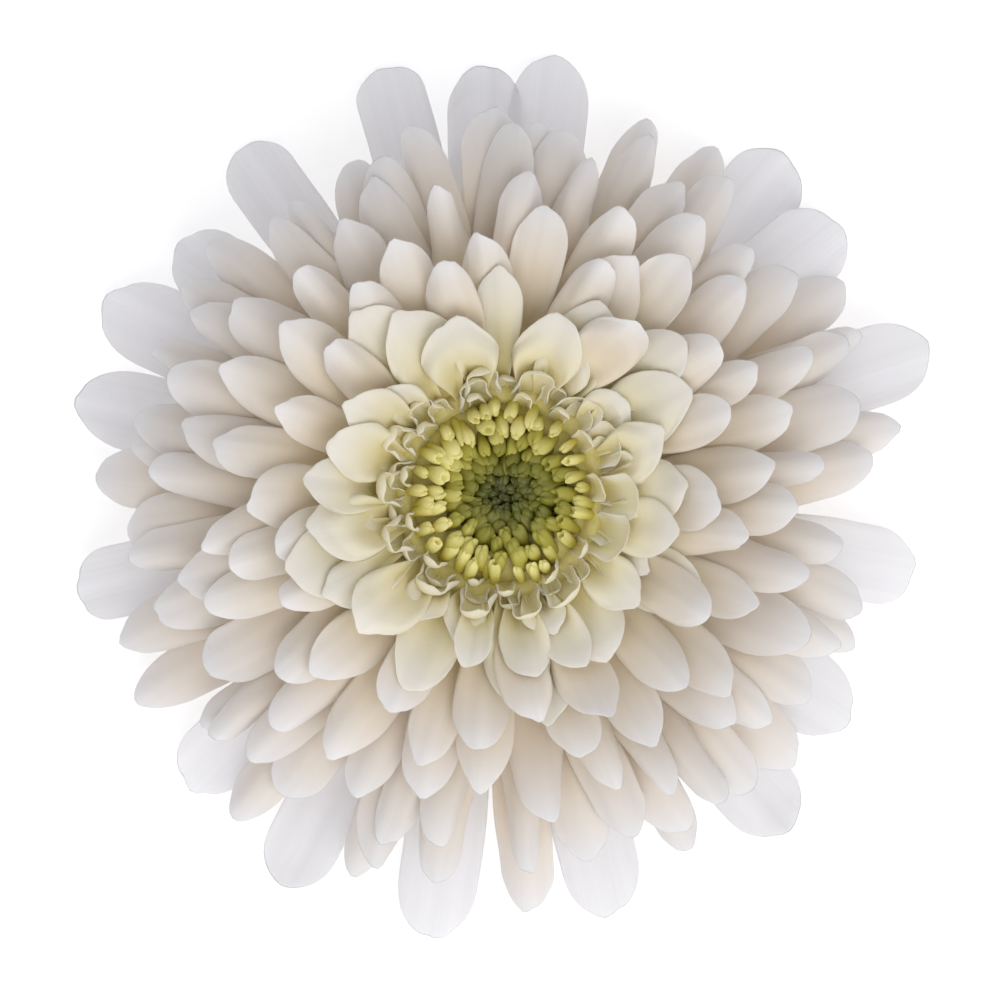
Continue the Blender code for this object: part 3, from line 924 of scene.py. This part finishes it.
class Nodes:
    """Shorthand for building one material."""

    def __init__(self, name):
        self.material = bpy.data.materials.new(name)
        self.material.use_nodes = True
        self.tree = self.material.node_tree
        self.shader = self.tree.nodes["Principled BSDF"]
        self.output = self.tree.nodes["Material Output"]

    def add(self, kind, settings=(), **inputs):
        """A node. Its kind goes without the ShaderNode in front."""
        node = self.tree.nodes.new("ShaderNode" + kind)
        for key, value in dict(settings).items():
            setattr(node, key, value)
        self.fill(node, **inputs)
        return node

    def fill(self, node, **inputs):
        """Links or sets inputs, each named by its socket, or by the socket's number after an i."""
        for key, value in inputs.items():
            numbered = key[0] == "i" and key[1:].isdigit()
            target = node.inputs[int(key[1:]) if numbered else key.replace("_", " ")]
            if isinstance(value, bpy.types.NodeSocket):
                self.tree.links.new(value, target)
            else:
                target.default_value = (*value, 1) if target.type == "RGBA" else value

    def finish(self, **inputs):
        """The material, with these inputs of its shader."""
        self.fill(self.shader, **inputs)
        return self.material

    def math(self, operation, *values):
        inputs = {f"i{number}": value for number, value in enumerate(values)}
        return self.add("Math", {"operation": operation}, **inputs).outputs[0]

    def times(self, value, by, plus=0.0):
        """The value times another, plus a third."""
        return self.math("MULTIPLY_ADD", value, by, plus)

    def ramp(self, factor, stops):
        node = self.add("ValToRGB", Fac=factor)
        points = node.color_ramp.elements
        while len(points) < len(stops):
            points.new(0.5)
        for point, (at, *colour) in zip(points, stops):
            point.position = at
            point.color = (*colour, 1)
        return node.outputs["Color"]

    def mix(self, factor, one, other, blend_type="MIX"):
        settings = {"data_type": "RGBA", "blend_type": blend_type}
        return self.add("Mix", settings, i0=factor, i6=one, i7=other).outputs[2]

    def step(self, value, low, high):
        """A soft step from 0 to 1."""
        settings = {"interpolation_type": "SMOOTHSTEP"}
        node = self.add("MapRange", settings, Value=value, From_Min=low, From_Max=high)
        return node.outputs[0]

    def near_edge(self, across, start):
        """From 0 at a share of the half width to 1 at the blade's edges."""
        return self.step(self.math("ABSOLUTE", self.times(across, 2.0, -1.0)), start, 1.0)

    def noise(self, scale, detail, where):
        return self.add("TexNoise", Vector=where, Scale=scale, Detail=detail).outputs["Fac"]

    def bump(self, strength, depth, height):
        return self.add("Bump", Strength=strength, Distance=depth, Height=height).outputs[0]

    def where(self):
        return self.add("TexCoord").outputs["Object"]

    def place(self):
        """Where a point lies across and along its blade, and its blade's own random number."""
        uv = self.add("UVMap", {"uv_map": "Place"})
        apart = self.add("SeparateXYZ", Vector=uv.outputs[0])
        tint = self.add("Attribute", {"attribute_name": "tint"})
        return apart.outputs[0], apart.outputs[1], tint.outputs["Fac"]

    def streaks(self, place, fineness, length, detail):
        """Noise drawn out along the blade, from 0 to 1, and different in each blade."""
        across, along, tint = place
        x = self.times(across, fineness, self.times(tint, 61.0))
        y = self.times(along, length)
        z = self.times(tint, 37.0)
        joined = self.add("CombineXYZ", X=x, Y=y, Z=z)
        return self.noise(1.0, detail, joined.outputs[0])


class Finish(NamedTuple):
    """The material of a kind of petal. Stops are a share of the length and the colour there."""

    stops: tuple
    veins: tuple
    vein_depth: float
    through: float  # share of the light that comes through from behind
    through_colour: tuple
    # colour of the painted highlight along the edges, and below it how strong that is
    rim: tuple
    rim_highlight_depth: float


def petal_material(name, finish):
    """A white petal: coloured along its length, partly with painted shade towards its root, finely veined,
    whitened along its edges as a painted highlight, and lit through from behind.
    """
    nodes = Nodes(name)
    place = nodes.place()
    across, along, tint = place
    # Painted highlight: the edges are whitened, for the light that curled rims catch
    rim = nodes.times(nodes.near_edge(across, 0.45), finish.rim_highlight_depth)
    colour = nodes.mix(rim, nodes.ramp(along, finish.stops), finish.rim)
    fine = nodes.streaks(place, fineness=40.0, length=1.4, detail=1.0)
    broad = nodes.streaks(place, fineness=6.0, length=0.8, detail=0.0)
    veins = nodes.add("MapRange", Value=fine, From_Min=0.56, From_Max=0.36).outputs[0]
    colour = nodes.mix(nodes.times(veins, finish.vein_depth), colour, finish.veins)
    shade = nodes.times(broad, 0.06, 0.96)
    shade = nodes.times(shade, nodes.times(tint, 0.04, 0.965))
    grey = nodes.add("CombineXYZ", X=shade, Y=shade, Z=shade).outputs[0]
    colour = nodes.mix(1.0, colour, grey, "MULTIPLY")
    height = nodes.times(broad, 0.7, nodes.times(fine, 0.3))
    bump = nodes.bump(strength=0.25, depth=0.2 * MM, height=height)
    nodes.finish(Base_Color=colour, Roughness=0.5, Specular_IOR_Level=0.3, Normal=bump)
    lit_through = nodes.mix(1.0, colour, finish.through_colour, "MULTIPLY")
    thin = nodes.add("BsdfTranslucent", Color=lit_through, Normal=bump).outputs[0]
    both = nodes.add("MixShader", i0=finish.through, i1=nodes.shader.outputs[0], i2=thin)
    nodes.fill(nodes.output, Surface=both.outputs[0])
    return nodes.material


def bud_material():
    """Disc buds: dark green in the middle of the eye, yellow-green at its rim, paler at their tips, and
    darker on one side of the eye as painted shade.
    """
    nodes = Nodes("green_bud_fine")
    # grown carries the painted shade set in buds_object: darker on one side of the eye
    grown, up, tint = nodes.place()
    grown = nodes.math("ADD", grown, nodes.times(tint, 0.16, -0.08))
    tip = nodes.ramp(grown, BUD_TIP_STOPS)
    foot = nodes.ramp(grown, BUD_FOOT_STOPS)
    noise = nodes.noise(2600.0, 3.0, nodes.where())
    at = nodes.math("ADD", up, nodes.times(noise, 0.3, -0.15))
    colour = nodes.mix(nodes.step(at, 0.35, 0.95), foot, tip)
    bump = nodes.bump(strength=0.3, depth=0.1 * MM, height=noise)
    return nodes.finish(Base_Color=colour, Roughness=0.42, Specular_IOR_Level=0.4, Normal=bump)


def bract_material():
    """Bracts: green, paler and drier at their margins, with lengthwise veins."""
    nodes = Nodes("green_bract_fine")
    place = nodes.place()
    across, along, _ = place
    fine = nodes.streaks(place, fineness=22.0, length=2.0, detail=3.0)
    margin = nodes.times(nodes.near_edge(across, 0.6), 0.7)
    green = nodes.ramp(along, BRACT_STOPS)
    green = nodes.mix(nodes.times(fine, 0.5), green, BRACT_VEINS)
    colour = nodes.mix(margin, green, BRACT_MARGIN)
    bump = nodes.bump(strength=0.4, depth=0.15 * MM, height=fine)
    return nodes.finish(Base_Color=colour, Roughness=0.6, Normal=bump)


def stalk_material():
    """Stalk and cup: green, ribbed, with a pale cut face where it points down."""
    nodes = Nodes("green_stalk_fine")
    where = nodes.where()
    drawn_out = nodes.add("Mapping", Vector=where, Scale=(1500.0, 1500.0, 260.0))
    noise = nodes.noise(1.0, 4.0, drawn_out.outputs[0])
    green = nodes.ramp(noise, STALK_STOPS)
    x, y, z = nodes.add("SeparateXYZ", Vector=where).outputs
    cut = nodes.math("LESS_THAN", z, 0.05 * MM)
    flat = nodes.add("CombineXYZ", X=x, Y=y).outputs[0]
    reach = nodes.add("VectorMath", {"operation": "LENGTH"}, i0=flat).outputs["Value"]
    rings = nodes.ramp(nodes.math("DIVIDE", reach, STALK_RADIUS), CUT_STOPS)
    bump = nodes.bump(strength=0.4, depth=0.1 * MM, height=noise)
    return nodes.finish(Base_Color=nodes.mix(cut, green, rings), Roughness=0.55, Normal=bump)


def core_material():
    """The receptacle, seen only in the gaps between the young petals."""
    nodes = Nodes("receptacle_fine")
    noise = nodes.noise(900.0, 3.0, nodes.where())
    colour = nodes.ramp(noise, CORE_STOPS)
    bump = nodes.bump(strength=0.4, depth=0.2 * MM, height=noise)
    return nodes.finish(Base_Color=colour, Roughness=0.6, Normal=bump)


# Colours of the buds, from the middle of the eye to its rim
BUD_TIP_STOPS = (
    (0.10, 0.065, 0.066, 0.025), (0.34, 0.105, 0.110, 0.015), (0.62, 0.225, 0.215, 0.024),
    (0.80, 0.48, 0.435, 0.075), (0.97, 0.84, 0.77, 0.30),
)
BUD_FOOT_STOPS = (
    (0.10, 0.018, 0.021, 0.009), (0.5, 0.075, 0.075, 0.010), (0.95, 0.56, 0.48, 0.07),
)

# Colours of the green parts and the receptacle
BRACT_STOPS = ((0.0, 0.20, 0.28, 0.08), (0.7, 0.10, 0.20, 0.045), (1.0, 0.16, 0.20, 0.06))
BRACT_VEINS = (0.26, 0.36, 0.12)
BRACT_MARGIN = (0.50, 0.47, 0.27)
STALK_STOPS = ((0.3, 0.10, 0.17, 0.045), (0.55, 0.17, 0.27, 0.07), (0.75, 0.27, 0.36, 0.13))
CUT_STOPS = (
    (0.0, 0.72, 0.74, 0.52), (0.55, 0.66, 0.70, 0.44), (0.72, 0.42, 0.52, 0.22),
    (0.95, 0.18, 0.28, 0.08),
)
CORE_STOPS = ((0.3, 0.55, 0.48, 0.14), (0.7, 0.70, 0.61, 0.24))

# Colours of the petals, from root to tip. They are warmer towards the root for the petals' own cream and
# gold. For the dome's and the outline's petals they are also darker there, as painted shade where the
# petals lie under each other
YOUNG_STOPS = (
    (0.0, 0.86, 0.76, 0.30), (0.35, 0.965, 0.885, 0.50), (0.7, 0.985, 0.935, 0.68),
    (1.0, 0.99, 0.965, 0.82),
)
INNER_STOPS = (
    (0.05, 0.975, 0.86, 0.36), (0.32, 0.98, 0.895, 0.51), (0.62, 0.985, 0.93, 0.72),
    (0.9, 0.985, 0.96, 0.89),
)
MIDDLE_STOPS = (
    (0.34, 0.97, 0.83, 0.54), (0.68, 0.965, 0.87, 0.705), (0.86, 0.96, 0.91, 0.84),
    (0.96, 0.975, 0.965, 0.96),
)
OUTER_STOPS = (
    (0.38, 0.935, 0.81, 0.595), (0.7, 0.93, 0.84, 0.715), (0.87, 0.92, 0.875, 0.83),
    (0.97, 0.93, 0.925, 0.93),
)
GUARD_STOPS = (
    (0.3, 0.90, 0.85, 0.77), (0.6, 0.95, 0.935, 0.925), (0.82, 0.975, 0.97, 0.98),
    (0.97, 0.98, 0.98, 0.985),
)

# The colour of the painted highlight along the petals' edges, then the colours of the light that comes
# through them
EDGE_HIGHLIGHT = (0.97, 0.96, 0.95)
WARM = (1.0, 0.975, 0.94)
COOL = (1.0, 0.995, 1.0)
GUARD_FINISH = Finish(GUARD_STOPS, (0.90, 0.89, 0.93), 0.2, 0.52, COOL, EDGE_HIGHLIGHT, 0.2)
OUTLINE_FINISH = Finish(OUTER_STOPS, (0.88, 0.84, 0.84), 0.14, 0.30, WARM, EDGE_HIGHLIGHT, 0.2)
OUTER_FINISH = Finish(OUTER_STOPS, (0.88, 0.84, 0.83), 0.12, 0.28, WARM, EDGE_HIGHLIGHT, 0.2)
MIDDLE_FINISH = Finish(MIDDLE_STOPS, (0.88, 0.83, 0.80), 0.10, 0.26, WARM, EDGE_HIGHLIGHT, 0.2)
INNER_FINISH = Finish(INNER_STOPS, (0.92, 0.86, 0.70), 0.08, 0.28, WARM, EDGE_HIGHLIGHT, 0.25)
# The young petals' rims carry the strongest painted highlight
YOUNG_FINISH = Finish(YOUNG_STOPS, (0.84, 0.76, 0.42), 0.10, 0.3, WARM, (0.99, 0.97, 0.89), 0.85)

# Profiles of the receptacle and the cup, from the axis: distance and height in millimetres
CORE_PROFILE = (
    (0, 12.6), (6.3, 12.6), (9.2, 14.2), (11.6, 16.0), (13.1, 18.0), (13.1, 19.2),
    (12.5, 20.3), (11.5, 20.9), (10.5, 20.8), (9.8, 19.8), (0, 19.0),
)
CUP_PROFILE = (
    (0, 4.4), (2.4, 4.4), (3.0, 5.4), (4.6, 6.6),
    (6.6, 8.6), (8.2, 10.6), (8.6, 12.3), (0, 12.3),
)


def dress(obj, material, slot, *nodes):
    """Gives a piece its material, hangs it on the root body, and hides the solids that it stands for."""
    obj.data.materials.append(material)
    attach(obj, "root")
    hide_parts(*nodes)


def petal_groups():
    """The pieces of petals: name, florets, look and finish."""
    outline = [f._replace(tip=(f.tip[0] + END_ALLOWANCE, f.tip[1])) for f in outline_florets()]
    low = [floret for floret in outline if floret.tip[1] < GUARD_HEIGHT]
    high = [floret for floret in outline if floret.tip[1] >= GUARD_HEIGHT]
    inner, rows = dome_florets()
    half = len(rows) // 2
    rng = Random(PLACED_SEED)
    inner += [*placed_florets(NARROW_PETALS, rng), *extra_florets(**BRIDGE_PETALS)]
    rows += placed_florets(COVERING_PETALS, rng)
    young = [*open_florets(), *extra_florets(**EDGE_PETALS)]
    return (
        ("guard_petals", low, GUARD, GUARD_FINISH),
        ("outline_petals", high, HIGH_OUTLINE, OUTLINE_FINISH),
        ("outer_petals", rows[half:], OUTER, OUTER_FINISH),
        ("middle_petals", rows[:half], MIDDLE, MIDDLE_FINISH),
        ("inner_petals", [opened(floret) for floret in inner], INNER, INNER_FINISH),
        ("young_petals", young, YOUNG, YOUNG_FINISH),
    )


def build_petals():
    """The petals, laid on each other from the lowest to the highest, and the receptacle."""
    groups = petal_groups()
    grown = {}
    lying = []
    for number, (name, florets, look, _) in enumerate(groups):
        rng = Random(LOOK_SEED + number)
        young = name == "young_petals"
        looks = [unrolled(look, floret) if young else look for floret in florets]
        grown[name] = [fine_blade(floret, look, rng) for floret, look in zip(florets, looks)]
        if not young:
            lying += [(floret.tip[1] - floret.tip[0], blade) for floret, blade in zip(florets, grown[name])]
    settle([blade for _, blade in sorted(lying, key=lambda pair: pair[0])])
    for _, blade in lying:
        sink(blade)
    for name, _, _, finish in groups:
        material = petal_material(name + "_white", finish)
        dress(blades_object(name, grown[name]), material, "white_petal", "ray_florets")
    core = turned_object("receptacle", CORE_PROFILE, 64)
    dress(core, core_material(), "white_petal", "ray_florets")


def build_eye():
    """The buds, and the low button that they stand on."""
    top = [(EYE_RADIUS * share, eye_height(EYE_RADIUS * share)) for share in (1.0, 0.8, 0.55, 0.3, 0)]
    button = [(0, CORE_TOP + NODE_GAP), (EYE_RADIUS, CORE_TOP + NODE_GAP), *top]
    inner = [bud._replace(radius=DRAWN_IN * bud.radius) for bud in disc_buds()]
    buds = buds_object("disc_buds", [*inner, *last_buds()], BUD_LOOK_SEED)
    dress(buds, bud_material(), "green_bud", "disc_florets")
    button = turned_object("disc_button", [(r / MM, z / MM) for r, z in button], 64)
    dress(button, core_material(), "green_bud", "disc_florets")


def build_involucre():
    """The bracts, their cup, and the piece of stalk."""
    rng = Random(BRACT_LOOK_SEED)
    bracts = blades_object("bracts", [fine_blade(floret, BRACT, rng) for floret in bract_florets()])
    dress(bracts, bract_material(), "green_bract", "involucre_and_stalk")
    stalk_look = stalk_material()
    cup = turned_object("bract_cup", CUP_PROFILE, 64)
    dress(cup, stalk_look, "green_bract", "involucre_and_stalk")
    radius, top = STALK_RADIUS / MM, STALK_TOP / MM
    profile = ((0, 0), (radius, 0), (radius, 0.2), (radius, top), (0, top))
    stalk = turned_object("cut_stalk", profile, 96, ribs=8, rib=STALK_RIB)
    dress(stalk, stalk_look, "green_bract", "involucre_and_stalk")


def build_floor():
    """A plain pale floor that glows a little, as a light table does."""
    mesh = bpy.data.meshes.new("floor")
    corners = [(x * FLOOR_REACH, y * FLOOR_REACH, 0) for x, y in ((-1, -1), (1, -1), (1, 1), (-1, 1))]
    mesh.from_pydata(corners, [], [(0, 1, 2, 3)])
    nodes = Nodes("pale_floor")
    nodes.finish(
        Base_Color=FLOOR_COLOUR,
        Roughness=0.9,
        Emission_Color=(1.0, 1.0, 1.0),
        Emission_Strength=FLOOR_GLOW,
    )
    nodes.material.cycles.emission_sampling = "NONE"
    mesh.materials.append(nodes.material)
    floor = new_object("floor", mesh)
    floor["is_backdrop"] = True


def build_light():
    """One large soft light from the near side, and an even sky."""
    data = bpy.data.lights.new("key", "AREA")
    data.size = KEY_SIZE
    data.energy = KEY_WATTS
    data.color = KEY_COLOUR
    key = new_object("key", data)
    key.location = KEY_PLACE
    key.rotation_euler = (Vector(KEY_PLACE) - Vector(KEY_TARGET)).to_track_quat("Z", "Y").to_euler()
    world = bpy.data.worlds.new("soft_studio")
    world.use_nodes = True
    sky = world.node_tree.nodes["Background"]
    sky.inputs["Color"].default_value = (*SKY_COLOUR, 1)
    sky.inputs["Strength"].default_value = SKY_STRENGTH
    bpy.context.scene.world = world


def build_camera():
    """Straight down on the bloom, from far enough that it hardly tapers."""
    data = bpy.data.cameras.new("camera")
    data.sensor_width = SENSOR
    data.lens = SENSOR * CAMERA_DISTANCE / (PICTURE * PIXEL)
    camera = new_object("camera", data)
    across = (PICTURE / 2 - EYE_PIXEL[0]) * PIXEL
    up = (EYE_PIXEL[1] - PICTURE / 2) * PIXEL
    camera.location = (across, up, CAMERA_DISTANCE)
    bpy.context.scene.camera = camera


def set_view():
    """Plain colours, and enough bounces for the light between the petals."""
    scene = bpy.context.scene
    scene.view_settings.view_transform = "Standard"
    for kind in ("max_bounces", "diffuse_bounces", "transmission_bounces"):
        setattr(scene.cycles, kind, LIGHT_BOUNCES)
    scene.cycles.adaptive_threshold = NOISE_LIMIT


build_petals()
build_eye()
build_involucre()
build_floor()
build_light()
build_camera()
set_view()
boxes = {"cad": CAD_BOX, "visual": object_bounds()}
{key: np.array(box).tolist() for key, box in boxes.items()}
